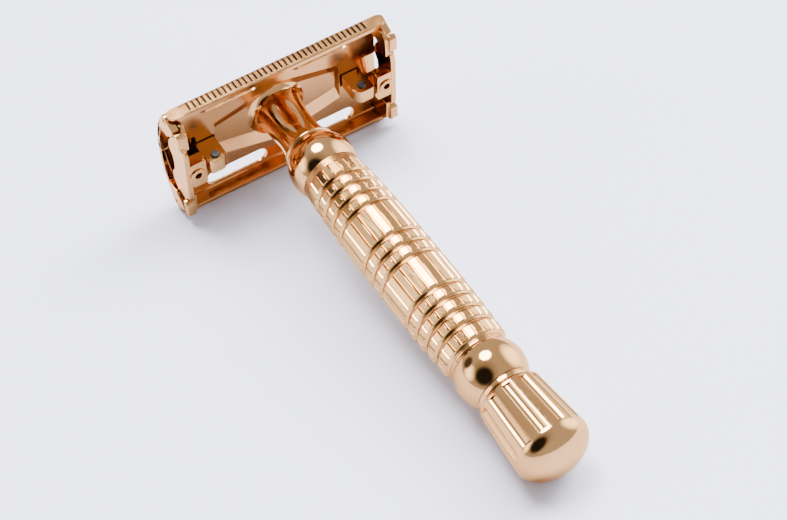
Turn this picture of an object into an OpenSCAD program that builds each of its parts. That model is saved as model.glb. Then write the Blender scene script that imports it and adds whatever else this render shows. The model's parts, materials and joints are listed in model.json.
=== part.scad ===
// Twist-to-open safety razor, lying on its guard and on its knob.
// Each module is first built upright: X runs along the head, Z up the handle
// with zero at the top of the guard's comb, and Y across the head.
// lay() then tips the razor over into its resting place.

/* [Head] */
// Length of the two doors along the head
door_len = 44.0; // [43.8:0.1:45]
// Height of the doors' ridge above the comb
door_top = 5.2; // [5.1:0.05:5.4]
// Wall of each door
door_wall = 0.8; // [0.6:0.05:0.9]
// Angle that each door swings open
door_open = 80; // [60:5:85]
// Distance of each hinge from the middle of the head
hinge_y = 10.7; // [10.6:0.02:10.7]
// Height of each hinge above the comb
hinge_z = 0.9; // [0.85:0.05:1]

/* [Guard] */
// Length of the guard along the head
guard_len = 40.6; // [40:0.1:40.6]
// Half width over the two guard lips
guard_half = 12.5; // [12.3:0.05:12.5]
// Height of each guard lip
lip_h = 2.0; // [1.6:0.1:2.2]
// Number of notches along each comb
comb_count = 36; // [20:2:36]
// Distance from notch to notch
comb_pitch = 1.0; // [0.9:0.05:1]
// Width of one notch
notch_w = 0.45; // [0.3:0.05:0.6]
// Height of one notch
notch_h = 1.35; // [1:0.05:1.5]
// Width of the rinsing slots
slot_w = 3.4; // [3:0.1:3.4]

/* [Lift] */
// Travel of the lift bar when the doors open
lift_travel = 3.3; // [2:0.1:3.3]
// Distance of the two lugs from the middle of the head
lug_x = 15.0; // [14.9:0.1:15.1]
// Radius of the steel cross pins
pin_r = 0.75; // [0.6:0.05:0.8]

/* [Handle] */
// Radius of both balls
ball_r = 6.16; // [6:0.02:6.3]
// Smallest radius of the neck
neck_r = 3.9; // [3.7:0.05:4.2]
// Radius of the rod that lifts the doors
rod_r = 1.5; // [1.2:0.05:1.5]

/* [Grip] */
// Largest radius of the grip
grip_r = 6.4; // [6.2:0.05:6.6]
// How much thinner the grip is at its ends
grip_drop = 0.7; // [0.3:0.05:0.8]
// Number of flats around the grip
flat_count = 24; // [16:1:30]
// Length of one narrow ring
ring_len = 1.643;
// Length of one long ring
long_len = 6.48;
// Gap between two rings
ring_gap = 1.1; // [0.8:0.1:1.2]
// Depth of the gap between two rings
ring_depth = 0.55; // [0.3:0.05:0.6]

/* [Knob] */
// Radius of the knob at its top
knob_top_r = 5.7; // [5.5:0.05:5.8]
// Largest radius of the knob
knob_r = 6.65; // [6.5:0.05:6.7]
// Number of flutes around the knob
flute_count = 12; // [8:1:14]
// Width of one flute
flute_w = 1.8; // [1.4:0.1:2]
// Height of the knob's domed end
dome_h = 4.3; // [3.5:0.1:5]

/* [Hidden] */
$fn = 48;
slack = 0.06;
overcut = 0.05;

// Heights along the handle, measured down from the comb.
lip_top = 0.7;
web_z = 1.3;
web_t = 0.7;
boss_rise = 0.9;
neck_top = web_z + boss_rise;
neck_ring_top = -9.3;
upper_ball_z = -14.31;
upper_ball_top = -10.2;
grip_top = -17.1;
rings_top = -18.4;
rings_bottom = -61.6;
lower_ball_top = -62.9;
lower_ball_z = -65.85;
lower_ball_bottom = -69.5;
knob_top = -70.95;
knob_wide = -82.2;
knob_end = knob_wide - dome_h;

// Radii of the parts inside the handle.
core_r = 3.6;
core_bore = 2.9;
bush_r = 2.6;
spindle_r = 1.6;
core_top = -12;
core_bottom = -65;
nut_bottom = -52;
nut_top = -38;
spindle_bottom = -80;
washer_r = 3.4;
washer_t = 0.9;
// Length of the spindle inside the nut: the lift's travel and the thread that stays in.
thread_len = lift_travel + 7.2;

// Door section: one arc over the head, and an end cheek that turns on the hinge.
arc_r = 21;
edge_y = 9.6;
edge_bevel = 0.9;
end_y = 10.9;
arc_steps = 12;
door_gap = 0.08;
cheek_x = 20.6;
cheek_y = 7.2;
ear_r = 1.22;
sweep_r = 2.9;
arm_x = 19.85;
plate_x = 20.5;
plate_out = 21.5;
hinge_pin_r = 0.5;

// Lugs and end brackets.
lug_w = 3.8;
lug_half = 1.35;
lug_nose = -4.4;
pin_z = -2.8;
foot_z = -4.2;
foot_h = 2.3;
foot_half = 2.9;
foot_x = 17.5;
rivet_x = 19.3;
rivet_r = 0.95;
tab_h = 1.2;
stud_r = 1.3;
stud_h = 0.35;
bar_z = web_z + web_t + boss_rise + 0.05;
bar_t = 0.9;

// Resting place: the back guard lip and the knob touch the table.
lip_bottom = lip_top - lip_h;
tilt = atan((guard_half - knob_r) / (lip_bottom - knob_wide));
rest_h = guard_half * cos(tilt) - lip_bottom * sin(tilt);
mid_y = 40.531;

gold = [0.90, 0.66, 0.52];
deep_gold = [0.80, 0.52, 0.36];
steel = [0.42, 0.43, 0.45];

// Turns the upright razor into its resting place.
module lay() {
    translate([0, mid_y, rest_h]) rotate([tilt - 90, 0, 0]) children();
}

// Points of an arc in the section plane, from angle a0 to a1 off the vertical.
function arc(y, z, r, a0, a1) =
    [for (i = [0 : arc_steps]) let (a = a0 + (a1 - a0) * i / arc_steps) [y + r * sin(a), z + r * cos(a)]];

// Extrudes a section drawn as [across, up] along the head, between two places.
module along_head(x0, x1) {
    translate([x0, 0, 0]) rotate([90, 0, 90]) linear_extrude(x1 - x0) children();
}

// Extrudes an outline drawn as [along head, up] across the head.
module across_head(half) {
    rotate([90, 0, 0]) linear_extrude(2 * half, center = true) children();
}

module ring(r, bore, z0, z1) {
    translate([0, 0, z0]) difference() {
        cylinder(r = r, h = z1 - z0);
        translate([0, 0, -1]) cylinder(r = bore, h = z1 - z0 + 2);
    }
}

module both_ends() {
    children();
    mirror([1, 0, 0]) children();
}

module both_sides() {
    children();
    mirror([0, 1, 0]) children();
}

// ---- Guard ----

fold_y = 11.5;
slot_y = 9.6;
slot_from = 3.0;
slot_to = 15.5;
lip_t = 1.0;
notch_d = 0.6;
tab_t = 0.45;

// Half of the sheet's section, from the middle out to the lip.
module guard_half_section() {
    inner = guard_half - lip_t;
    polygon([[-overcut, web_z], [inner - 0.4, web_z], [inner, 0.9], [inner, lip_bottom],
             [guard_half, lip_bottom], [guard_half, lip_top], [guard_half - 0.4, 1.6],
             [fold_y, web_z + web_t], [-overcut, web_z + web_t]]);
}

// Six-sided pressing around the neck, between two sizes.
module pressing(grow_low, grow_high, z0, z1) {
    hull() {
        translate([0, 0, z0]) pressing_outline(grow_low);
        translate([0, 0, z1 - 0.01]) pressing_outline(grow_high);
    }
}

module pressing_outline(grow) {
    tip_x = 12.3 + 0.2 * grow;
    tip_y = 2.1 + grow;
    mid = 4.6 + 1.25 * grow;
    linear_extrude(0.01) polygon([[-tip_x, -tip_y], [0, -mid], [tip_x, -tip_y],
                                  [tip_x, tip_y], [0, mid], [-tip_x, tip_y]]);
}

module slot_cut() {
    half = slot_w / 2;
    for (side = [-1, 1]) {
        translate([0, side * slot_y, -1]) {
            translate([slot_from + half, -half, 0]) cube([slot_to - slot_from - slot_w, slot_w, 5]);
            for (x = [slot_from + half, slot_to - half]) translate([x, 0, 0]) cylinder(r = half, h = 5);
        }
    }
}

// Rounded end of a lip, which hides the hinge behind it.
module corner_tab() {
    reach = 21.7;
    start = 18.8;
    top = 1.25;
    translate([0, guard_half - tab_t, 0]) rotate([90, 0, 0]) mirror([0, 0, 1]) linear_extrude(tab_t)
        polygon([[start, lip_bottom], [start, top - 0.5], [start + 0.5, top], [reach - 0.8, top],
                 [reach - 0.2, top - 0.5], [reach, 0.3], [reach - 0.4, lip_bottom + 0.5],
                 [reach - 1.2, lip_bottom]]);
}

module guard_plate() {
    half = guard_len / 2;
    lug_gap = 0.25;
    open_x = 16.5;
    open_half = 3.2;
    sheet_x = 19.6;
    color(gold) lay() difference() {
        union() {
            along_head(-half, half) {
                guard_half_section();
                mirror([1, 0]) guard_half_section();
            }
            pressing(2.7, 0.8, web_z + web_t - 0.02, web_z + web_t + boss_rise);
            both_ends() both_sides() corner_tab();
        }
        pressing(2.1, 0, web_z - 0.01, neck_top);
        both_ends() slot_cut();
        // Notches of both combs
        for (i = [0 : comb_count - 1]) {
            x = (i - (comb_count - 1) / 2) * comb_pitch;
            both_sides() translate([x - notch_w / 2, guard_half - notch_d, lip_top - notch_h])
                cube([notch_w, 2, notch_h + 1]);
        }
        // Windows for the lugs, and the open ends for the brackets
        both_ends() {
            translate([lug_x - lug_w / 2 - lug_gap, -lug_half - lug_gap, -1])
                cube([lug_w + 4, 2 * (lug_half + lug_gap), 6]);
            translate([open_x, -open_half, -1]) cube([5, 2 * open_half, 6]);
            translate([sheet_x, 0, 1.5]) cube([3, 2 * (guard_half - lip_t), 6], center = true);
        }
        // Bore for the lift rod's bush, and the pocket that the neck's flare fills
        translate([0, 0, -1]) cylinder(r = bush_r, h = 8);
        translate([0, 0, neck_top - 2]) cylinder(r = neck_at(neck_top) + 0.02, h = 2);
    }
}

// ---- Handle ----

// Neck radius at height z: thin in the middle and flared under the guard.
function neck_at(z) =
    let (t = (z - neck_ring_top) / (neck_top - neck_ring_top))
    t < 0.35 ? neck_r + 0.62 * pow((0.35 - t) / 0.35, 2)
             : neck_r + 0.9 * pow((t - 0.35) / 0.65, 2) + 1.0 * pow((t - 0.35) / 0.65, 16);

module neck_tube() {
    steps = 24;
    color(gold) lay() rotate_extrude() polygon(concat(
        [[bush_r, neck_top], [bush_r, neck_ring_top]],
        [for (i = [0 : steps]) let (z = neck_ring_top + (neck_top - neck_ring_top) * i / steps)
            [neck_at(z), z]]));
}

module neck_ring() {
    mid = (neck_ring_top + upper_ball_top) / 2;
    color(gold) lay() rotate_extrude() polygon(
        [[bush_r, neck_ring_top], [bush_r, upper_ball_top], [4.7, upper_ball_top],
         [4.95, mid - 0.2], [4.95, mid + 0.2], [4.7, neck_ring_top]]);
}

module turned_ball(centre, z0, z1) {
    intersection() {
        translate([0, 0, centre]) sphere(r = ball_r);
        translate([0, 0, z0]) cylinder(r = 2 * ball_r, h = z1 - z0);
    }
}

module upper_ball() {
    color(gold) lay() difference() {
        turned_ball(upper_ball_z, grip_top, upper_ball_top);
        translate([0, 0, grip_top - 1]) cylinder(r = core_r, h = core_top - grip_top + 1);
        translate([0, 0, core_top - 1]) cylinder(r = bush_r, h = 6);
    }
}

module lower_ball() {
    color(gold) lay() difference() {
        turned_ball(lower_ball_z, lower_ball_bottom, lower_ball_top);
        translate([0, 0, lower_ball_bottom - 1]) cylinder(r = core_r, h = 10);
    }
}

// Radius of the barrel-shaped grip at height z.
grip_mid = -41.5;
function grip_at(z) = grip_r - grip_drop * pow(abs(z - grip_mid) / (rings_top - grip_mid), 3);

ring_lens = [2.79, ring_len, ring_len, ring_len, long_len, ring_len, ring_len, long_len,
             ring_len, ring_len, ring_len, 2.2];
function len_before(i) = i == 0 ? 0 : ring_lens[i - 1] + ring_gap + len_before(i - 1);

// Outline of one ring: flats with a small V groove at each corner.
module flats_outline(r) {
    step = 360 / flat_count;
    groove_a = 1.9;
    groove_d = 0.3;
    polygon([for (i = [0 : flat_count - 1], k = [-1 : 1])
        let (a = i * step + k * groove_a, rr = k == 0 ? r - groove_d : r) [rr * cos(a), rr * sin(a)]]);
}

module grip_sleeve() {
    steps = 16;
    collar_r = 5.55;
    color(gold) lay() difference() {
        union() {
            rotate_extrude() polygon(concat(
                [[core_r - 0.5, rings_bottom], [core_r - 0.5, rings_top]],
                [for (i = [0 : steps]) let (z = rings_top + (rings_bottom - rings_top) * i / steps)
                    [grip_at(z) - ring_depth, z]]));
            translate([0, 0, rings_top]) cylinder(r = collar_r, h = grip_top - rings_top);
            for (i = [0 : len(ring_lens) - 1]) {
                top = rings_top - len_before(i);
                translate([0, 0, top - ring_lens[i]]) linear_extrude(ring_lens[i])
                    flats_outline(grip_at(top - ring_lens[i] / 2));
            }
        }
        translate([0, 0, rings_bottom - 1]) cylinder(r = core_r, h = 50);
    }
}

module grip_ferrule() {
    r = 5.3;
    ridge = 0.2;
    color(gold) lay() rotate_extrude() polygon(
        [[core_r, rings_bottom], [core_r, lower_ball_top], [r, lower_ball_top],
         [r, -62.65], [r + ridge, -62.5], [r, -62.35], [r, -62.15], [r + ridge, -62.0],
         [r, -61.85], [r, rings_bottom]]);
}

module seat_ring() {
    top = lower_ball_bottom;
    bottom = -70.8;
    color(gold) lay() rotate_extrude() polygon(
        [[core_r, top], [core_r, bottom], [4.9, bottom], [5.15, bottom + 0.25],
         [5.15, top - 0.25], [4.9, top]]);
}

module core_tube() {
    color(steel) lay() ring(core_r, core_bore, core_bottom, core_top);
}

module guide_bush() {
    color(deep_gold) lay() ring(bush_r, rod_r + slack, core_top, neck_top + web_t);
}

module bearing_bush() {
    color(deep_gold) lay() ring(core_r, spindle_r + slack, -70.8, core_bottom);
}

// ---- Knob and drive ----

// A shallow flute with a round bottom, at the slope of the knob's side.
module flute_cut(angle) {
    slope = atan((knob_r - knob_top_r) / (knob_top - knob_wide));
    depth = 0.38;
    bottom_r = (flute_w * flute_w / 4 + depth * depth) / (2 * depth);
    length = 10.2;
    start = knob_top - 0.7;
    rotate([0, 0, angle]) translate([knob_top_r + 0.06 - depth + bottom_r, 0, start])
        rotate([0, 180 - slope, 0]) cylinder(r = bottom_r, h = length);
}

module twist_knob() {
    steps = 14;
    chamfer = 0.3;
    color(gold) lay() difference() {
        rotate_extrude() polygon(concat(
            [[0, knob_top], [knob_top_r - chamfer, knob_top], [knob_top_r, knob_top - chamfer]],
            [for (i = [0 : steps]) let (a = 90 * i / steps)
                [knob_r * cos(a), knob_wide - dome_h * sin(a)]]));
        for (i = [0 : flute_count - 1]) flute_cut((i + 0.5) * 360 / flute_count);
        translate([0, 0, spindle_bottom]) cylinder(r = spindle_r, h = 12);
        translate([0, 0, knob_top - washer_t]) cylinder(r = washer_r + 0.1, h = 2);
    }
}

module drive_spindle() {
    color(steel) lay() translate([0, 0, spindle_bottom])
        cylinder(r = spindle_r, h = nut_bottom + thread_len - spindle_bottom);
}

module thrust_washer() {
    color(steel) lay() ring(washer_r, spindle_r, knob_top - washer_t, knob_top);
}

module spindle_clip() {
    clip_r = 2.6;
    color(steel) lay() ring(clip_r, spindle_r, core_bottom + 0.1, core_bottom + 0.8);
}

module lift_nut() {
    color(deep_gold) lay() difference() {
        translate([0, 0, nut_bottom]) cylinder(r = core_bore - slack, h = nut_top - nut_bottom);
        translate([0, 0, nut_bottom - 1]) cylinder(r = spindle_r + slack, h = 1 + thread_len + 0.5);
    }
}

module lift_rod() {
    color(steel) lay() translate([0, 0, nut_top]) cylinder(r = rod_r, h = bar_z - nut_top);
}

// ---- Lift bar, lugs and brackets ----

module lift_bar() {
    color(gold) lay() translate([-lug_x - lug_w / 2, -lug_half, bar_z])
        cube([2 * lug_x + lug_w, 2 * lug_half, bar_t]);
}

module blade_studs() {
    color(gold) lay() both_ends() translate([lug_x + 0.6, 0, bar_z + bar_t]) cylinder(r = stud_r, h = stud_h);
}

module one_lug() {
    low = lug_x - lug_w / 2;
    high = lug_x + lug_w / 2;
    tab_z = foot_z + foot_h;
    difference() {
        union() {
            across_head(lug_half) polygon([[low, bar_z], [low, lug_nose + 1], [low + 1, lug_nose],
                                           [high - 0.5, lug_nose], [high, lug_nose + 0.4], [high, bar_z]]);
            translate([high - overcut, -lug_half, tab_z]) cube([plate_x - high, 2 * lug_half, tab_h]);
        }
        translate([lug_x, 0, pin_z]) rotate([90, 0, 0]) cylinder(r = pin_r, h = 10, center = true);
        translate([rivet_x, 0, tab_z - 1]) cylinder(r = rivet_r, h = 4);
    }
}

module lug_left() {
    color(gold) lay() mirror([1, 0, 0]) one_lug();
}

module lug_right() {
    color(gold) lay() one_lug();
}

module cross_pins() {
    // The pins stand out of each lug by half of this.
    stand_out = 0.7;
    color(steel) lay() both_ends() translate([lug_x, 0, pin_z]) rotate([90, 0, 0])
        cylinder(r = pin_r, h = 2 * lug_half + stand_out, center = true);
}

// Half of the end plate's outline as [across, up]: a foot with a raised lobe.
module plate_half() {
    polygon([[0, foot_z + 0.1], [5.3, foot_z + 0.1], [6.6, -3.6], [8.2, -2.4], [8.2, -0.9], [6.9, 0.3],
             [5.2, 1.5], [3.6, 1.8], [2.7, 1.5], [1.8, 0.6], [0, 0.5]]);
}

// The arm that holds the hinge pin, inside the door's cheek.
module arm_half() {
    polygon([[6, -3.4], [9.9, -3.2], [11.2, -2.1], [11.3, 0.4], [11.3, 1.3], [10.7, 1.8], [9.6, 1.6],
             [8.1, 1.4], [8.1, -0.4], [6, -0.8]]);
}

module knuckle_half() {
    polygon([[7.0, -3.0], [7.4, -3.8], [10.2, -3.8], [10.9, -3.2], [10.6, -2.5], [7.0, -2.2]]);
}

module one_bracket() {
    outer = door_len / 2;
    difference() {
        union() {
            translate([foot_x, -foot_half, foot_z]) cube([plate_x - foot_x + overcut, 2 * foot_half, foot_h]);
            both_sides() {
                along_head(plate_x, plate_out) translate([-overcut, 0]) plate_half();
                along_head(arm_x, plate_x + overcut) arm_half();
                along_head(plate_x, outer) knuckle_half();
            }
        }
        translate([rivet_x, 0, foot_z - 1]) cylinder(r = rivet_r, h = 6);
        both_sides() translate([arm_x - 1, hinge_y, hinge_z]) rotate([0, 90, 0])
            cylinder(r = hinge_pin_r, h = 2);
    }
}

module end_bracket_left() {
    color(gold) lay() mirror([1, 0, 0]) one_bracket();
}

module end_bracket_right() {
    color(gold) lay() one_bracket();
}

module bracket_rivets() {
    bore = 0.65;
    lip = 0.3;
    low_lip_r = 1.4;
    high_lip_r = 1.15;
    tab_top = foot_z + foot_h + tab_h;
    color(deep_gold) lay() both_ends() translate([rivet_x, 0, 0]) {
        ring(rivet_r, bore, foot_z, tab_top);
        ring(low_lip_r, bore, foot_z - lip, foot_z);
        ring(high_lip_r, bore, tab_top, tab_top + lip);
    }
}

module hinge_pins() {
    color(steel) lay() both_ends() both_sides() translate([arm_x, hinge_y, hinge_z])
        rotate([0, 90, 0]) cylinder(r = hinge_pin_r, h = door_len / 2 - arm_x - 0.3);
}

// ---- Doors ----

// Curved section of a door from the middle of the head out to reach, with a
// bevelled edge.
module door_section(reach, bevel) {
    centre = door_top - arc_r;
    start_a = asin(door_gap / arc_r);
    polygon(concat(
        arc(0, centre, arc_r, start_a, asin(reach / arc_r)),
        arc(0, centre, arc_r - door_wall, asin((reach - bevel) / arc_r), start_a)));
}

// End cheek around the hinge pin. Its foot is an arc about the hinge, so that
// it clears the bracket as the door swings.
module cheek_section() {
    foot_from = -95;
    foot_to = foot_from + 5 - door_open;
    top = door_top - arc_r + sqrt(pow(arc_r - 0.4, 2) - pow(cheek_y, 2));
    polygon(concat([[cheek_y, 0.4], [cheek_y, top], [9.6, 2.7], [10.7, 2.0]],
                   [for (a = [0 : -30 : -60]) [hinge_y + ear_r * cos(a), hinge_z + ear_r * sin(a)]],
                   [for (a = [foot_from : -15 : foot_to])
                       [hinge_y + sweep_r * cos(a), hinge_z + sweep_r * sin(a)]]));
    translate([hinge_y, hinge_z]) circle(r = ear_r);
}

module one_door() {
    half = door_len / 2;
    difference() {
        union() {
            along_head(-half, half) door_section(edge_y, edge_bevel);
            both_ends() along_head(cheek_x, half) {
                door_section(end_y, edge_bevel / 2);
                cheek_section();
            }
        }
        both_ends() translate([cheek_x - 1, hinge_y, hinge_z]) rotate([0, 90, 0])
            cylinder(r = hinge_pin_r + slack, h = 3);
    }
}

// The back door lies towards +Y before the razor is laid down, so it is underneath.
module door_front() {
    color(gold) lay() mirror([0, 1, 0]) one_door();
}

module door_back() {
    color(gold) lay() one_door();
}

guard_plate();
neck_tube();
neck_ring();
upper_ball();
grip_sleeve();
grip_ferrule();
lower_ball();
seat_ring();
core_tube();
guide_bush();
bearing_bush();
twist_knob();
drive_spindle();
thrust_washer();
spindle_clip();
lift_nut();
lift_rod();
lift_bar();
blade_studs();
lug_left();
lug_right();
cross_pins();
end_bracket_left();
end_bracket_right();
bracket_rivets();
hinge_pins();
door_front();
door_back();
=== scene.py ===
# %% [markdown]
# # A rose gold safety razor
# The razor lies on a pale table with its head tipped over. Its moving parts come
# ready-made as a frame, in metres, and this lesson gives each visible part its
# rounded edges and its polished finish. We start with the finishes, then turn the
# handle, cut the grip and the knob, and end with the small stamped parts of the head.

# %% Load the frame
import json
import math

import bpy
from mathutils import Matrix, Vector


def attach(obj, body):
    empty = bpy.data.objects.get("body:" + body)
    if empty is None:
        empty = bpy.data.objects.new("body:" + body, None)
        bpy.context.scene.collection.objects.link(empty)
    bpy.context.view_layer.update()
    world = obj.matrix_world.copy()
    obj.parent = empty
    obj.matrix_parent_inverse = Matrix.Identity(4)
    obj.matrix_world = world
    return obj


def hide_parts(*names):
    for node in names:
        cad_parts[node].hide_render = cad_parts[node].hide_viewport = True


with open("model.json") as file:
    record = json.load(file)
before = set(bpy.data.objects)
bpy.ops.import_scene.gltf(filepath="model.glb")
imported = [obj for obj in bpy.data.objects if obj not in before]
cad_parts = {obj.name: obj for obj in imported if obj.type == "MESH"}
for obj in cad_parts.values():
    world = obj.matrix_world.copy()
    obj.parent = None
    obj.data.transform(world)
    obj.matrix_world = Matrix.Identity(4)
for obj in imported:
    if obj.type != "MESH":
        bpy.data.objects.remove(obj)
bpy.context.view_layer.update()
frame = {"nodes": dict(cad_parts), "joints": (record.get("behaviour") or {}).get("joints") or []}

# %% [markdown]
# ## An upright workbench
# A handle is easiest to turn when it stands upright. So every piece is made with Z
# up the handle, zero at the top of the comb, X along the head and Y across it, and
# is then laid down with one matrix. The joints give that matrix: the knob's axis is
# the handle's direction, and the two door hinges lie either side of its middle.

# %% The laying matrix
MM = 0.001
HINGE_Z = 0.9
joints = {joint["name"]: joint for joint in frame["joints"]}
up_handle = Vector(joints["knob_twist"]["axis"]).normalized()
front_hinge = Vector(joints["front_door_swing"]["pos_m"])
back_hinge = Vector(joints["back_door_swing"]["pos_m"])
across = (back_hinge - front_hinge).normalized()
HINGE_Y = (back_hinge - front_hinge).length / 2 / MM
comb_middle = (front_hinge + back_hinge) / 2 - up_handle * HINGE_Z * MM
turn = Matrix((Vector((1, 0, 0)), across, up_handle)).transposed().to_4x4()
LAID = Matrix.Translation(comb_middle) @ turn
TILT = math.asin(up_handle.z)
print("tilt of the handle:", round(math.degrees(TILT), 2), "degrees, hinges at", round(HINGE_Y, 2), "mm")

# %% [markdown]
# ## Polished rose gold
# The plating is a mirror with a pink and copper tint. One colour would look like
# plastic, so the tint drifts a little over some millimetres, the polish varies from
# very bright to slightly hazed, and a faint bump breaks up long reflections. All of
# it is noise on object coordinates, so it sticks to the metal from every side.

# %% Node helpers
def new_material(name):
    material = bpy.data.materials.new(name)
    material.use_nodes = True
    nodes = material.node_tree.nodes
    shader = next(n for n in nodes if n.type == "BSDF_PRINCIPLED")
    return material, nodes, material.node_tree.links, shader


def noise_on_object(nodes, links, scale, detail, stretch=(1, 1, 1), turn_x=0.0):
    """Noise in object space; stretch below 1 on an axis draws it out that way."""
    where = nodes.new("ShaderNodeTexCoord")
    mapping = nodes.new("ShaderNodeMapping")
    mapping.inputs["Rotation"].default_value = (turn_x, 0, 0)
    mapping.inputs["Scale"].default_value = stretch
    noise = nodes.new("ShaderNodeTexNoise")
    noise.inputs["Scale"].default_value = scale
    noise.inputs["Detail"].default_value = detail
    links.new(where.outputs["Object"], mapping.inputs["Vector"])
    links.new(mapping.outputs["Vector"], noise.inputs["Vector"])
    return noise.outputs["Fac"]


def spread(nodes, links, value, low, high):
    """Map noise from its usual 0.35 to 0.65 onto low to high."""
    node = nodes.new("ShaderNodeMapRange")
    node.inputs["From Min"].default_value = 0.35
    node.inputs["From Max"].default_value = 0.65
    node.inputs["To Min"].default_value = low
    node.inputs["To Max"].default_value = high
    links.new(value, node.inputs["Value"])
    return node.outputs["Result"]


def two_tints(nodes, links, value, first, second):
    node = nodes.new("ShaderNodeMix")
    node.data_type = "RGBA"
    node.inputs["A"].default_value = (*first, 1)
    node.inputs["B"].default_value = (*second, 1)
    links.new(spread(nodes, links, value, 0, 1), node.inputs["Factor"])
    return node.outputs["Result"]


def faint_bump(nodes, links, shader, value, height):
    node = nodes.new("ShaderNodeBump")
    node.inputs["Strength"].default_value = 1.0
    node.inputs["Distance"].default_value = height
    links.new(value, node.inputs["Height"])
    links.new(node.outputs["Normal"], shader.inputs["Normal"])


# %% The metals
COPPER_RIM = (0.95, 0.78, 0.62, 1)
WHITE_RIM = (0.9, 0.9, 0.9, 1)


def metal(name, first, second, shine, haze, grain_scale, grain_height, stretch=(1, 1, 1), rim=COPPER_RIM):
    """A metal whose tint drifts between two colours and whose polish runs from shine to haze.
    At a flat angle it takes on the colour of its rim."""
    material, nodes, links, shader = new_material(name)
    shader.inputs["Metallic"].default_value = 1.0
    shader.inputs["Specular Tint"].default_value = rim
    drift = noise_on_object(nodes, links, 140, 3)
    links.new(two_tints(nodes, links, drift, first, second), shader.inputs["Base Color"])
    grain = noise_on_object(nodes, links, grain_scale, 4, stretch, -TILT)
    links.new(spread(nodes, links, grain, shine, haze), shader.inputs["Roughness"])
    faint_bump(nodes, links, shader, grain, grain_height)
    return material


ALONG_HANDLE = (1, 0.04, 1)
rose_gold = metal("rose_gold_polish", (0.60, 0.31, 0.115), (0.64, 0.34, 0.135), 0.05, 0.11, 900, 1.0e-6)
cut_gold = metal("rose_gold_cut_faces", (0.60, 0.325, 0.11), (0.66, 0.37, 0.14), 0.09, 0.18, 5000, 1.5e-6,
                 ALONG_HANDLE)
stamped_gold = metal("rose_gold_stampings", (0.59, 0.305, 0.11), (0.64, 0.335, 0.13), 0.08, 0.14, 1400, 1.0e-6)
guard_gold = metal("rose_gold_guard", (0.55, 0.275, 0.10), (0.59, 0.30, 0.12), 0.17, 0.24, 700, 0.6e-6)
# Painted shade: the notch material is a near-black gold that stands in for the shade deep inside the comb's notches.
notch_painted_shade = metal("painted_shade_in_notches", (0.07, 0.03, 0.012), (0.09, 0.038, 0.015), 0.40, 0.50, 700, 0.6e-6)
# Painted shade: the groove material is a darker gold that stands in for the shade in the gaps between the grip's
# rings.
groove_painted_shade = metal("painted_shade_in_grooves", (0.38, 0.16, 0.05), (0.44, 0.19, 0.065), 0.22, 0.34, 900, 1.0e-6)
pin_steel = metal("pin_steel", (0.06, 0.06, 0.065), (0.10, 0.10, 0.105), 0.35, 0.50, 3000, 4e-6, rim=WHITE_RIM)
inner_steel = metal("inner_steel", (0.42, 0.43, 0.45), (0.50, 0.51, 0.53), 0.25, 0.40, 2500, 4e-6, ALONG_HANDLE,
                    WHITE_RIM)
bush_brass = metal("bush_brass", (0.62, 0.38, 0.15), (0.68, 0.43, 0.19), 0.25, 0.40, 2500, 4e-6)
print("finishes:", [m.name for m in bpy.data.materials if m.users == 0 or m.node_tree])

# %% [markdown]
# ## Hand tools
# Four tools make nearly everything. A vertex is drawn out point by point. A closed
# outline is filled and extruded into a plate. An open outline is spun about the
# handle's axis, which is what a lathe does. Then modifiers carve and round it.

# %% Draw, extrude and spin
def begin(name, point):
    """Start a piece as one vertex at a point in mm, and stay in edit mode."""
    bpy.ops.object.select_all(action="DESELECT")
    bpy.ops.mesh.primitive_plane_add(size=MM, location=(0, 0, 0))
    piece = bpy.context.object
    piece.name = name
    bpy.ops.object.mode_set(mode="EDIT")
    bpy.ops.mesh.select_all(action="SELECT")
    bpy.ops.mesh.merge(type="CENTER")
    bpy.ops.transform.translate(value=[c * MM for c in point])
    return piece


def draw(points):
    """Extrude the selected vertex from point to point."""
    for here, there in zip(points, points[1:]):
        step = [(b - a) * MM for a, b in zip(here, there)]
        bpy.ops.mesh.extrude_vertices_move(TRANSFORM_OT_translate={"value": step})


def close_up(piece):
    """Merge doubled points, point the faces outwards and leave edit mode."""
    bpy.ops.mesh.select_all(action="SELECT")
    bpy.ops.mesh.remove_doubles(threshold=0.002 * MM)
    bpy.ops.mesh.normals_make_consistent(inside=False)
    bpy.ops.object.mode_set(mode="OBJECT")
    return piece


def plate(name, outline, put, way):
    """Fill an outline of (u, v) points that put() places in space, and extrude it along way."""
    points = [put(u, v) for u, v in outline]
    piece = begin(name, points[0])
    draw(points)
    bpy.ops.mesh.select_all(action="SELECT")
    bpy.ops.mesh.edge_face_add()
    bpy.ops.mesh.extrude_region_move(TRANSFORM_OT_translate={"value": [c * MM for c in way]})
    return close_up(piece)


def turned(name, profile, steps=96):
    """Spin a closed profile of (radius, height) points about the handle's axis."""
    points = [(r, 0, z) for r, z in profile + profile[:1]]
    piece = begin(name, points[0])
    draw(points)
    bpy.ops.mesh.select_all(action="SELECT")
    bpy.ops.mesh.spin(steps=steps, angle=math.tau, center=(0, 0, 0), axis=(0, 0, 1))
    return close_up(piece)


# %% Modifiers, shading and placing
def only(piece):
    bpy.ops.object.select_all(action="DESELECT")
    piece.select_set(True)
    bpy.context.view_layer.objects.active = piece


def worked(piece, kind, **settings):
    """Add one modifier with its settings and apply it."""
    only(piece)
    modifier = piece.modifiers.new(kind.lower(), kind)
    for name, value in settings.items():
        setattr(modifier, name, value)
    bpy.ops.object.modifier_apply(modifier=modifier.name)
    return piece


def carved(piece, tool, operation="DIFFERENCE"):
    """Cut a tool out of a piece, or unite the two, and put the tool away."""
    worked(piece, "BOOLEAN", operation=operation, solver="EXACT", object=tool)
    bpy.data.objects.remove(tool)
    return piece


def softened(piece, width, segments=2, sharper_than=30):
    """Round every edge that turns by more than an angle."""
    return worked(piece, "BEVEL", width=width * MM, segments=segments, limit_method="ANGLE",
                  angle_limit=math.radians(sharper_than), miter_outer="MITER_ARC")


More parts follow.
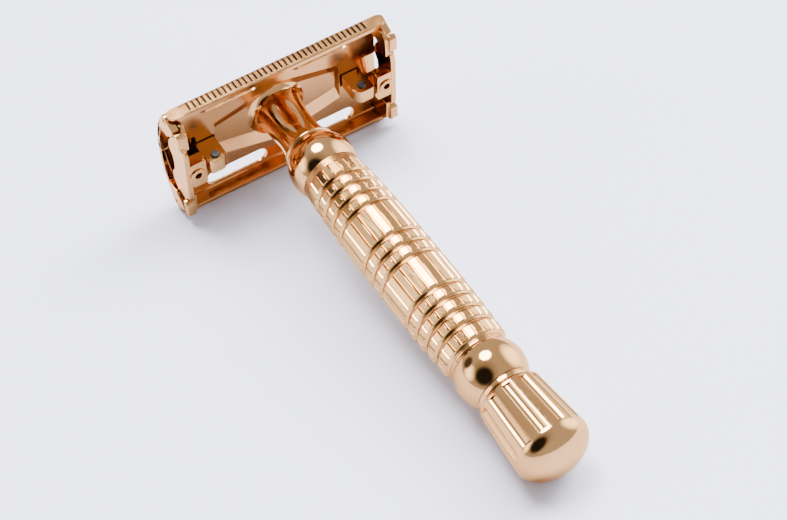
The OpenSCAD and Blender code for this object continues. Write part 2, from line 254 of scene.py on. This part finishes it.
def smoothed(piece, angle=38):
    only(piece)
    bpy.ops.object.shade_smooth_by_angle(angle=math.radians(angle))
    return worked(piece, "WEIGHTED_NORMAL", keep_sharp=True)


def both_ways(piece, x=False, y=False):
    """Mirror a piece to the other end of the head, to its other side, or both."""
    worked(piece, "MIRROR", use_axis=(x, y, False), use_mirror_merge=False)
    bpy.ops.object.mode_set(mode="EDIT")
    return close_up(piece)


def joined(pieces, name):
    bpy.ops.object.select_all(action="DESELECT")
    for piece in pieces:
        piece.select_set(True)
    bpy.context.view_layer.objects.active = pieces[0]
    bpy.ops.object.join()
    pieces[0].name = name
    return pieces[0]


def shown(piece, body, finish, slot, *nodes):
    """Lay the piece down, give it its finish, and let it stand for its CAD nodes."""
    only(piece)
    piece.matrix_world = LAID
    bpy.ops.object.transform_apply(location=True, rotation=True, scale=True)
    piece.data.materials.clear()
    piece.data.materials.append(finish)
    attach(piece, body)
    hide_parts(*nodes)
    print(piece.name, "has", len(piece.data.polygons), "faces")


def lined(piece, finish, faces):
    """Give some faces of a finished piece a material of their own, here a darker gold as painted shade."""
    piece.data.materials.append(finish)
    for face in faces:
        piece.data.polygons[face].material_index = len(piece.data.materials) - 1


# %% [markdown]
# ## The turned handle
# Neck, rings and balls are lathe work, so each is a profile spun about the axis. The
# neck could be a stretched cylinder, but its waist and its sudden flare under the
# guard are easier to say as a formula for the radius at each height.

# %% Neck
BORE = 2.6
CORE = 3.6


def neck_radius(t):
    """Radius of the neck from the ring (t = 0) to the guard (t = 1)."""
    if t < 0.35:
        return 3.9 + 0.62 * ((0.35 - t) / 0.35) ** 2
    rise = (t - 0.35) / 0.65
    return 3.9 + 0.9 * rise ** 2 + 1.0 * rise ** 16


NECK_FROM, NECK_TO = -9.3, 2.2
neck_profile = [(BORE, NECK_TO), (BORE, NECK_FROM)]
for i in range(49):
    t = i / 48
    neck_profile.append((neck_radius(t), NECK_FROM + (NECK_TO - NECK_FROM) * t))
shown(smoothed(turned("neck", neck_profile)), "handle", rose_gold, "rose_gold", "neck_tube")


# %% Rings and balls
def arc(centre_r, centre_z, radius, start, end, steps=16):
    """Points of an arc in (radius, height), from start to end degrees."""
    angles = [math.radians(start + (end - start) * i / steps) for i in range(steps + 1)]
    return [(centre_r + radius * math.cos(a), centre_z + radius * math.sin(a)) for a in angles]


def ball(name, centre, low, high, bore):
    start = math.degrees(math.asin((low - centre) / BALL_R))
    end = math.degrees(math.asin((high - centre) / BALL_R))
    return turned(name, [(bore, high), (bore, low)] + arc(0, centre, BALL_R, start, end, 48))


BALL_R = 6.16
bead = [(BORE, -9.3), (BORE, -10.2)] + arc(4.5, -9.75, 0.44, -80, 80)
shown(smoothed(turned("neck_bead", bead)), "handle", rose_gold, "rose_gold", "neck_ring")
shown(smoothed(ball("ball_under_neck", -14.31, -17.05, -10.2, BORE)), "handle", rose_gold, "rose_gold",
      "upper_ball")
shown(smoothed(ball("ball_over_knob", -65.85, -69.5, -62.9, CORE)), "handle", rose_gold, "rose_gold",
      "lower_ball")
seat = [(CORE, -69.5), (CORE, -70.8)] + arc(4.75, -70.4, 0.38, -85, 0) + arc(4.75, -69.9, 0.38, 0, 85)
shown(smoothed(turned("knob_seat", seat)), "handle", rose_gold, "rose_gold", "seat_ring")
collar = [(CORE, -61.6), (CORE, -62.9), (5.25, -62.9)]
for ridge in (-62.5, -62.0):
    collar += arc(5.3, ridge, 0.16, -90, 90, 8)
collar += [(5.3, -61.6)]
shown(smoothed(turned("grip_collar", collar)), "handle", rose_gold, "rose_gold", "grip_ferrule")

# %% [markdown]
# ## The cut grip
# The grip is a barrel with rings of 24 small tiles. Each ring starts as a 24-sided
# cone. Insetting its side faces one by one, and pushing them out a little, makes
# flat tiles with sloping borders in a single step. Modelling a tile and copying it
# round would also work, but then neighbouring slopes would have to be matched.

# %% Barrel and rings
FLATS = 24
GRIP_R, GRIP_DROP = 6.4, 0.7
RINGS_FROM, RINGS_TO = -18.4, -61.6
GRIP_MIDDLE = -41.5
RING, LONG, GAP = 1.643, 6.48, 1.1
ring_lengths = [2.79, RING, RING, RING, LONG, RING, RING, LONG, RING, RING, RING, 2.2]


def grip_radius(z):
    return GRIP_R - GRIP_DROP * (abs(z - GRIP_MIDDLE) / (RINGS_FROM - GRIP_MIDDLE)) ** 3


def tiled_ring(top, length):
    """A 24-sided ring whose faces are raised as tiles."""
    rise, border, spare = 0.32, 0.2, 0.1
    low, high = grip_radius(top - length) - rise, grip_radius(top) - rise
    bpy.ops.object.select_all(action="DESELECT")
    bpy.ops.mesh.primitive_cone_add(vertices=FLATS, radius1=low * MM, radius2=high * MM,
                                    depth=(length + spare) * MM,
                                    location=(0, 0, (top - length / 2) * MM))
    ring = bpy.context.object
    bpy.ops.object.transform_apply(location=True, rotation=True, scale=True)
    for face in ring.data.polygons:
        face.select = abs(face.normal.z) < 0.5
    bpy.ops.object.mode_set(mode="EDIT")
    bpy.ops.mesh.select_mode(type="FACE")
    bpy.ops.mesh.inset(thickness=border * MM, depth=rise * MM, use_individual=True, use_even_offset=True)
    bpy.ops.mesh.select_mode(type="VERT")
    bpy.ops.object.mode_set(mode="OBJECT")
    return softened(ring, 0.03, 1, 20)


rings = []
top = RINGS_FROM
for length in ring_lengths:
    rings.append(tiled_ring(top, length))
    top -= length + GAP
print("rings end at", round(top + GAP, 2), "mm")

# %% The sleeve under the rings
GROOVE = 0.68
sleeve = [(CORE - 0.5, RINGS_TO), (CORE - 0.5, RINGS_FROM + 1.3), (5.5, RINGS_FROM + 1.3), (5.55, RINGS_FROM)]
for i in range(41):
    z = RINGS_FROM + (RINGS_TO - RINGS_FROM) * i / 40
    sleeve.append((grip_radius(z) - GROOVE, z))
under = turned("grip", sleeve)
under_faces = range(len(under.data.polygons))
grip = joined([under] + rings, "grip_tiles")
shown(smoothed(grip, 28), "handle", cut_gold, "rose_gold", "grip_sleeve")
# Painted shade: the sleeve faces seen between the rings take the darker gold of the grooves.
lined(grip, groove_painted_shade, under_faces)

# %% [markdown]
# ## The fluted knob
# The knob is turned first and fluted after, as in the workshop. Each flute is a
# shallow round-bottomed groove, so its cutter is a rod set just outside the knob, at
# the same slope as the knob's side. One cutter is made and spun round as twelve copies.

# %% Knob
KNOB_TOP, KNOB_WIDE = -70.95, -82.2
KNOB_TOP_R, KNOB_R, DOME = 5.7, 6.65, 4.3
FLUTES, FLUTE_W, FLUTE_DEPTH = 12, 1.8, 0.38
side_slope = math.atan((KNOB_R - KNOB_TOP_R) / (KNOB_TOP - KNOB_WIDE))
knob_profile = [(0, KNOB_TOP), (KNOB_TOP_R - 0.35, KNOB_TOP)] + arc(KNOB_TOP_R - 0.35, KNOB_TOP - 0.35, 0.35, 90, 0, 6)
for i in range(33):
    a = math.radians(90 * i / 32)
    knob_profile.append((KNOB_R * math.cos(a), KNOB_WIDE - DOME * math.sin(a)))
knob = turned("knob", knob_profile, 144)

flute_r = (FLUTE_W ** 2 / 4 + FLUTE_DEPTH ** 2) / (2 * FLUTE_DEPTH)
flute_shape = arc(0, 0, flute_r, 0, 360, 48)[:-1]
FLUTE_FROM, FLUTE_LENGTH = KNOB_TOP - 0.7, 10.2
flute_axis = KNOB_TOP_R + 0.06 - FLUTE_DEPTH + flute_r


def flute_point(u, v):
    return (flute_axis + u, v, FLUTE_FROM)


lean = (math.sin(side_slope) * FLUTE_LENGTH, 0, -math.cos(side_slope) * FLUTE_LENGTH)
cutter = plate("flute_cutter", flute_shape, flute_point, lean)
only(cutter)
bpy.ops.object.mode_set(mode="EDIT")
bpy.ops.mesh.select_all(action="SELECT")
half_step = math.pi / FLUTES
bpy.ops.transform.rotate(value=-half_step, orient_axis="Z", center_override=(0, 0, 0))
bpy.ops.mesh.spin(steps=FLUTES, dupli=True, angle=math.tau, center=(0, 0, 0), axis=(0, 0, 1))
close_up(cutter)
carved(knob, cutter)
shown(smoothed(softened(knob, 0.07, 3, 25)), "knob", rose_gold, "rose_gold", "twist_knob")

# %% [markdown]
# ## The stamped head
# The head is bent and punched sheet with a few milled blocks. Each part starts as
# its side view, filled and extruded along or across the head. Openings are cut with
# simple tools. The doors, lugs, brackets and pins then get a small round on their edges, because
# it is the thin bright lines on such edges that make sheet metal look real; the guard keeps its sharp edges.

# %% Outlines and blocks
def mirrored(outline):
    """The outline and its mirror image as one closed outline, for sections that reach the middle."""
    return outline + [(-u, v) for u, v in reversed(outline)]


def eased(outline, radius):
    """Replace each corner of an outline by three points of a soft curve."""
    soft = []
    for i, corner in enumerate(outline):
        q = Vector(corner)
        ends = []
        for other in (outline[i - 1], outline[(i + 1) % len(outline)]):
            side = Vector(other) - q
            ends.append(q + side * min(radius / side.length, 0.45))
        soft += [tuple(ends[0]), tuple((ends[0] + 2 * q + ends[1]) / 4), tuple(ends[1])]
    return soft


def along_head(name, outline, x0, x1):
    """Extrude an outline of (across, up) points from x0 to x1."""
    return plate(name, outline, lambda u, v: (x0, u, v), (x1 - x0, 0, 0))


def across_head(name, outline, y0, y1):
    """Extrude an outline of (along, up) points from y0 to y1."""
    return plate(name, outline, lambda u, v: (u, y0, v), (0, y1 - y0, 0))


def up_handle_from(name, outline, z0, z1):
    """Extrude an outline of (along, across) points from z0 to z1."""
    return plate(name, outline, lambda u, v: (u, v, z0), (0, 0, z1 - z0))


def block(name, low, high):
    corners = [(low[0], low[1]), (high[0], low[1]), (high[0], high[1]), (low[0], high[1])]
    return up_handle_from(name, corners, low[2], high[2])


def rounded_edges(piece, width, segments=2, sharper_than=30):
    """Small rounds on cut sheet, where short edges must not hold the others back."""
    return worked(piece, "BEVEL", width=width * MM, segments=segments, limit_method="ANGLE",
                  angle_limit=math.radians(sharper_than), use_clamp_overlap=False)


# %% Guard sheet with its two lips
GUARD_HALF_LENGTH, LIP_IN, LIP_OUT = 20.3, 11.5, 12.5
WEB_LOW, WEB_HIGH, BOSS_TOP, RECESS_TOP = 1.3, 2.0, 2.9, 2.2
half_section = [(LIP_IN - 0.4, WEB_LOW), (LIP_IN - 0.12, 1.2), (LIP_IN, 0.95), (LIP_IN, -1.2), (LIP_IN + 0.12, -1.3),
                (LIP_OUT - 0.2, -1.3), (LIP_OUT, -1.1), (LIP_OUT, 0.75), (LIP_OUT - 0.1, 1.25), (LIP_OUT - 0.4, 1.65),
                (LIP_IN + 0.1, 1.97), (LIP_IN - 0.4, WEB_HIGH)]
guard = along_head("guard", mirrored(half_section), -GUARD_HALF_LENGTH, GUARD_HALF_LENGTH)


def pressing(grow):
    """Six-sided outline around the neck; grow widens its border."""
    x, y, middle = 12.3 + 0.2 * grow, 2.1 + grow, 4.6 + 1.25 * grow
    return [(-x, -y), (0, -middle), (x, -y), (x, y), (0, middle), (-x, y)]


def sloping(name, low, z0, high, z1):
    """A block with one outline below and another above, bridged."""
    loops = []
    for outline, z in ((low, z0), (high, z1)):
        points = [(u, v, z) for u, v in outline]
        loops.append(begin(name, points[0]))
        draw(points + points[:1])
        close_up(loops[-1])
    piece = joined(loops, name)
    bpy.ops.object.mode_set(mode="EDIT")
    bpy.ops.mesh.select_all(action="SELECT")
    bpy.ops.mesh.bridge_edge_loops()
    bpy.ops.mesh.select_all(action="SELECT")
    bpy.ops.mesh.fill_holes(sides=0)
    return close_up(piece)


carved(guard, sloping("boss", pressing(2.7), WEB_HIGH - 0.02, pressing(0.8), BOSS_TOP), "UNION")
carved(guard, sloping("recess", pressing(2.1), WEB_LOW - 0.01, pressing(0), RECESS_TOP))
print("guard has", len(guard.data.polygons), "faces after pressing")

# %% Tabs at the corners of the lips
TAB_T = 0.45
tab_outline = [(18.8, -1.3), (18.8, 0.75), (19.3, 1.25), (20.9, 1.25), (21.5, 0.75), (21.7, 0.3), (21.3, -0.8),
               (20.5, -1.3)]
tabs = both_ways(across_head("tabs", eased(tab_outline, 0.3), LIP_OUT - TAB_T, LIP_OUT), x=True, y=True)
carved(guard, tabs, "UNION")

# %% Openings in the guard
SLOT_FROM, SLOT_TO, SLOT_Y, SLOT_HALF = 3.0, 15.5, 9.6, 1.7
slot = arc(SLOT_FROM + SLOT_HALF, SLOT_Y, SLOT_HALF, 270, 90) + arc(SLOT_TO - SLOT_HALF, SLOT_Y, SLOT_HALF, 90, -90)
carved(guard, both_ways(up_handle_from("slots", slot, 0, 4), x=True, y=True))
carved(guard, both_ways(block("lug_windows", (12.85, -1.6, -1), (20.0, 1.6, 5)), x=True))
carved(guard, both_ways(block("end_windows", (16.5, -3.2, -1), (21.5, 3.2, 5)), x=True))
carved(guard, both_ways(block("end_trims", (19.6, -LIP_IN, 1.5), (22, LIP_IN, 5)), x=True))
bore = arc(0, 0, BORE, 0, 360, 48)[:-1]
carved(guard, up_handle_from("bore", bore, -1, 5))
rim = arc(0, 0, 5.82, 0, 360, 96)[:-1]
carved(guard, up_handle_from("neck_pocket", rim, 0.2, RECESS_TOP))

# %% Comb notches
NOTCHES, PITCH, NOTCH_W = 36, 1.0, 0.45
first = -(NOTCHES - 1) / 2 * PITCH
notch = [(first - NOTCH_W / 2, 1.9), (first - NOTCH_W / 2, -0.5)]
notch += [(u, v) for u, v in arc(first, -0.5, NOTCH_W / 2, 180, 360, 6)] + [(first + NOTCH_W / 2, 1.9)]
notches = across_head("notches", notch, LIP_OUT - 0.6, LIP_OUT + 1)
worked(notches, "ARRAY", count=NOTCHES, use_relative_offset=False, use_constant_offset=True,
       constant_offset_displace=(PITCH * MM, 0, 0))
carved(guard, both_ways(notches, y=True))
smoothed(guard, 14)
# Collect the faces inside the comb's notches; below they take the near-black painted shade.
inside = []
for face in guard.data.polygons:
    x, y, z = (abs(v) / MM for v in face.center)
    floor = abs(y - LIP_OUT + 0.6) < 0.01
    if x < -first + NOTCH_W and y > LIP_OUT - 0.62 and (floor or abs(face.normal.x) > 0.1):
        inside.append(face.index)
shown(guard, "handle", guard_gold, "rose_gold", "guard_plate")
lined(guard, notch_painted_shade, inside)
print("notch faces:", len(inside))

# %% [markdown]
# ## Doors
# Each door is a thin arch with a cheek at both ends, and the cheek carries the eye of
# the hinge. The arch is drawn as an outline of two arcs, which keeps its wall even.
# A bent plane with a solidify modifier would do too, but its edge could not be
# bevelled on one side only.

# %% Doors
RIDGE_R, RIDGE_MIDDLE, WALL = 21.0, -15.8, 0.8
DOOR_HALF, CHEEK_X, EAR_R, EYE_R = 22.0, 20.6, 1.22, 0.56


def arch(reach, bevel):
    """Section of a door from the middle of the head to its reach."""
    angle = lambda y: 90 - math.degrees(math.asin(y / RIDGE_R))
    outside = arc(0, RIDGE_MIDDLE, RIDGE_R, angle(0.08), angle(reach), 24)
    return outside + arc(0, RIDGE_MIDDLE, RIDGE_R - WALL, angle(reach - bevel), angle(0.08), 24)


cheek = [(7.2, 0.4), (7.2, 3.5), (9.6, 2.7), (10.4, 2.1)] + arc(HINGE_Y, HINGE_Z, EAR_R, 85, -60, 12)
cheek += arc(HINGE_Y, HINGE_Z, 2.9, -95, -170, 8)
eye = arc(HINGE_Y, HINGE_Z, EYE_R, 0, 360, 24)[:-1]
for name, body, side in (("door_front_shell", "front_door", -1), ("door_back_shell", "back_door", 1)):
    door = along_head(name, arch(9.6, 0.9), -DOOR_HALF, DOOR_HALF)
    ends = along_head("ends", arch(10.9, 0.45), CHEEK_X, DOOR_HALF)
    carved(ends, along_head("cheek", cheek, CHEEK_X, DOOR_HALF), "UNION")
    carved(ends, along_head("eye", eye, CHEEK_X - 1, DOOR_HALF + 1))
    carved(door, both_ways(ends, x=True), "UNION")
    if side < 0:
        only(door)
        bpy.ops.transform.mirror(constraint_axis=(False, True, False), center_override=(0, 0, 0))
        bpy.ops.object.transform_apply(location=True, rotation=True, scale=True)
        bpy.ops.object.mode_set(mode="EDIT")
        close_up(door)
    rounded_edges(door, 0.1)
    shown(smoothed(door, 35), body, rose_gold, "rose_gold", "door_front" if side < 0 else "door_back")

# %% [markdown]
# ## Lugs, brackets, pins and rivets
# Two lugs hang from the lift bar through the guard, with a steel pin across each. A
# bracket is riveted to each lug and holds the hinges. One end is made and then
# mirrored, so that both ends are sure to match.

# %% One lug and one bracket, and their mirror images
LUG_X, LUG_HALF_W, LUG_HALF_T, PIN_Z, PIN_R = 15.0, 1.9, 1.35, -2.8, 0.75
PLATE_X, PLATE_OUT, ARM_X = 20.5, 21.5, 19.85
FOOT_Z, FOOT_TOP, TAB_TOP, RIVET_X, RIVET_R = -4.2, -1.9, -0.7, 19.3, 0.95
lug_outline = [(LUG_X - LUG_HALF_W, 2.95), (LUG_X - LUG_HALF_W, -3.4), (LUG_X - 0.9, -4.4), (LUG_X + 1.4, -4.4),
               (LUG_X + LUG_HALF_W, -4.0), (LUG_X + LUG_HALF_W, 2.95)]
plate_half = [(5.3, -4.1), (6.6, -3.6), (8.2, -2.4), (8.2, -0.9), (6.9, 0.3), (5.2, 1.5), (3.6, 1.8), (2.7, 1.5),
              (1.8, 0.6), (0.6, 0.5)]
arm_half = [(6, -3.4), (9.9, -3.2), (11.2, -2.1), (11.3, 0.4), (11.3, 1.3), (10.7, 1.8), (9.6, 1.6), (8.1, 1.4),
            (8.1, -0.4), (6, -0.8)]
knuckle_half = [(7.0, -3.0), (7.4, -3.8), (10.2, -3.8), (10.9, -3.2), (10.6, -2.5), (7.0, -2.2)]


def hole(x, y, r, z0, z1):
    return up_handle_from("hole", arc(x, y, r, 0, 360, 32)[:-1], z0, z1)


def make_lug():
    lug = across_head("lug", eased(lug_outline, 0.35), -LUG_HALF_T, LUG_HALF_T)
    tab = block("tab", (LUG_X + LUG_HALF_W - 0.05, -LUG_HALF_T, FOOT_TOP), (PLATE_X, LUG_HALF_T, TAB_TOP))
    carved(lug, tab, "UNION")
    carved(lug, across_head("pin_hole", arc(LUG_X, PIN_Z, PIN_R, 0, 360, 32)[:-1], -3, 3))
    carved(lug, hole(RIVET_X, 0, RIVET_R, -4, 1))
    return rounded_edges(lug, 0.09)


def make_bracket():
    foot = [(17.5, -2.9), (PLATE_X, -2.9), (PLATE_X, 2.9), (17.5, 2.9)]
    bracket = up_handle_from("bracket", eased(foot, 0.4), FOOT_Z, FOOT_TOP)
    carved(bracket, along_head("plate", eased(mirrored(plate_half), 0.5), PLATE_X - 0.02, PLATE_OUT), "UNION")
    for name, outline, x0, x1 in (("arm", eased(arm_half, 0.45), ARM_X, PLATE_X + 0.05),
                                  ("knuckle", eased(knuckle_half, 0.3), PLATE_X + 0.01, DOOR_HALF)):
        piece = along_head(name, outline, x0, x1)
        carved(bracket, both_ways(piece, y=True), "UNION")
    carved(bracket, hole(RIVET_X, 0, RIVET_R, -6, 0))
    pin = arc(HINGE_Y, HINGE_Z, 0.5, 0, 360, 20)[:-1]
    carved(bracket, both_ways(along_head("pin_hole", pin, ARM_X - 1, ARM_X + 1), y=True))
    return rounded_edges(bracket, 0.09)


for make, body, finish, nodes in ((make_lug, "carriage", stamped_gold, ("lug_left", "lug_right")),
                                  (make_bracket, "carriage", stamped_gold,
                                   ("end_bracket_left", "end_bracket_right"))):
    for node, left in zip(nodes, (True, False)):
        piece = make()
        piece.name = node + "_shape"
        if left:
            only(piece)
            bpy.ops.transform.mirror(constraint_axis=(True, False, False), center_override=(0, 0, 0))
            bpy.ops.object.transform_apply(location=True, rotation=True, scale=True)
            bpy.ops.object.mode_set(mode="EDIT")
            close_up(piece)
        shown(smoothed(piece, 35), body, finish, "rose_gold", node)

# %% Pins and rivets
pin_circle = arc(LUG_X, PIN_Z, PIN_R, 0, 360, 40)[:-1]
pins = across_head("steel_pins", pin_circle, -LUG_HALF_T - 0.35, LUG_HALF_T + 0.35)
shown(smoothed(both_ways(softened(pins, 0.12, 3), x=True)), "carriage", pin_steel, "steel", "cross_pins")
rivet = [(0.65, -0.42), (0.65, -4.42), (0.73, -4.5)] + arc(1.25, -4.35, 0.15, -90, 0, 4) + [(1.4, -4.2)]
rivet += [(RIVET_R, FOOT_Z), (RIVET_R, TAB_TOP), (1.15, TAB_TOP)] + arc(1.0, -0.55, 0.15, 0, 90, 4)
rivets = turned("hollow_rivets", rivet, 48)
only(rivets)
bpy.ops.transform.translate(value=(RIVET_X * MM, 0, 0))
bpy.ops.object.transform_apply(location=True, rotation=True, scale=True)
shown(smoothed(both_ways(rivets, x=True)), "carriage", stamped_gold, "rose_gold", "bracket_rivets")

# %% [markdown]
# ## Parts that keep their frame shape
# The pins, the screw parts and the bar are plain turned or milled steel and brass
# inside the razor. Their frame shapes are already right, so they only get a finish.

# %% Finishes for the remaining nodes
keeps = {"inner_steel": (inner_steel, ("core_tube", "drive_spindle", "thrust_washer", "spindle_clip", "lift_rod")),
         "pin_steel": (pin_steel, ("hinge_pins",)),
         "bush_brass": (bush_brass, ("guide_bush", "bearing_bush", "lift_nut")),
         "stamped_gold": (stamped_gold, ("lift_bar", "blade_studs"))}
for finish, nodes in keeps.values():
    for node in nodes:
        frame["nodes"][node].material_slots[0].material = finish
print("kept:", sum(len(nodes) for finish, nodes in keeps.values()), "nodes")

# %% [markdown]
# ## Table, light and camera
# Polished metal shows its surroundings, so the light is most of the picture. A plain
# pale dome lights everything softly. Glows left and right, a bright panel above and
# dark gaps between them are painted on the sky and give the round parts their
# highlights and black accents. Two soft lamps, hidden from reflections, brighten the
# table and make the long soft shadow without adding shapes to the metal.

# %% Camera
camera_data = bpy.data.cameras.new("camera")
camera_data.lens = 82.845
camera_data.sensor_width = 36
camera = bpy.data.objects.new("camera", camera_data)
bpy.context.scene.collection.objects.link(camera)
camera.location = (-0.09745, -0.170325, 0.238542)
camera.rotation_euler = [math.radians(a) for a in (40.7838, 2.7866, -32.446)]
bpy.context.scene.camera = camera

# %% Table
bpy.ops.object.select_all(action="DESELECT")
bpy.ops.mesh.primitive_plane_add(size=3, location=(0, 0, 0))
table = bpy.context.object
table.name = "table_top"
table_finish, nodes, links, shader = new_material("pale_table")
shader.inputs["Roughness"].default_value = 0.5
shade = noise_on_object(nodes, links, 9, 2)
links.new(two_tints(nodes, links, shade, (0.66, 0.675, 0.83), (0.68, 0.695, 0.85)), shader.inputs["Base Color"])
table.data.materials.append(table_finish)

# %% Sky
world = bpy.data.worlds.new("studio")
bpy.context.scene.world = world
world.use_nodes = True
sky, wires = world.node_tree.nodes, world.node_tree.links
where = sky.new("ShaderNodeTexCoord")
background = next(n for n in sky if n.type == "BACKGROUND")
view = camera.rotation_euler.to_matrix()
right, above, behind = view.col[0], view.col[1], view.col[2]


def towards(angle, sideways, upwards):
    """Direction at an angle from the viewer's, leaning sideways and upwards."""
    lean_way = (right * sideways + above * upwards).normalized()
    a = math.radians(angle)
    return behind * math.cos(a) + lean_way * math.sin(a)


def add_patch(colour, direction, full, none, tint):
    """Paint a round patch on the sky: full out to one angle, gone at the other."""
    dot = sky.new("ShaderNodeVectorMath")
    dot.operation = "DOT_PRODUCT"
    dot.inputs[1].default_value = direction
    wires.new(where.outputs["Generated"], dot.inputs[0])
    edge = sky.new("ShaderNodeMapRange")
    edge.interpolation_type = "SMOOTHSTEP"
    edge.inputs["From Min"].default_value = math.cos(math.radians(none))
    edge.inputs["From Max"].default_value = math.cos(math.radians(full))
    wires.new(dot.outputs["Value"], edge.inputs["Value"])
    mix = sky.new("ShaderNodeMix")
    mix.data_type = "RGBA"
    mix.inputs["B"].default_value = (*tint, 1)
    wires.new(edge.outputs["Result"], mix.inputs["Factor"])
    wires.new(colour, mix.inputs["A"])
    return mix.outputs["Result"]


base = sky.new("ShaderNodeRGB")
base.outputs[0].default_value = (0.95, 0.96, 1.0, 1)
colour = base.outputs[0]
colour = add_patch(colour, towards(70, -1, 0.05), 4, 24, (6.0, 6.0, 6.0))
colour = add_patch(colour, towards(92, 0.76, 0.65), 4, 36, (6.5, 6.5, 6.5))
colour = add_patch(colour, towards(24, -0.9, 0.1), 14, 50, (0.50, 0.49, 0.48))
colour = add_patch(colour, towards(24, -1, -0.25), 20, 34, (0.03, 0.03, 0.03))
colour = add_patch(colour, towards(86, -0.9, 0.42), 9, 18, (0.12, 0.12, 0.12))
colour = add_patch(colour, towards(63, -0.33, 0.94), 13, 17, (34.0, 34.0, 34.0))
wires.new(colour, background.inputs["Color"])
background.inputs["Strength"].default_value = 1.0


# %% Lamps
def softbox(name, direction, distance, size, watts, in_reflections):
    """A square lamp that looks at the middle of the razor."""
    lamp_data = bpy.data.lights.new(name, "AREA")
    lamp_data.size = size
    lamp_data.energy = watts
    lamp = bpy.data.objects.new(name, lamp_data)
    bpy.context.scene.collection.objects.link(lamp)
    lamp.location = Vector(direction).normalized() * distance
    lamp.rotation_euler = Vector(direction).to_track_quat("Z", "Y").to_euler()
    lamp.visible_glossy = in_reflections
    return lamp


softbox("key_softbox", (0.80, 0.15, 0.62), 1.0, 0.45, 16.5, False)
softbox("table_softbox", (0.45, 0.25, 0.85), 1.2, 0.6, 22, False)
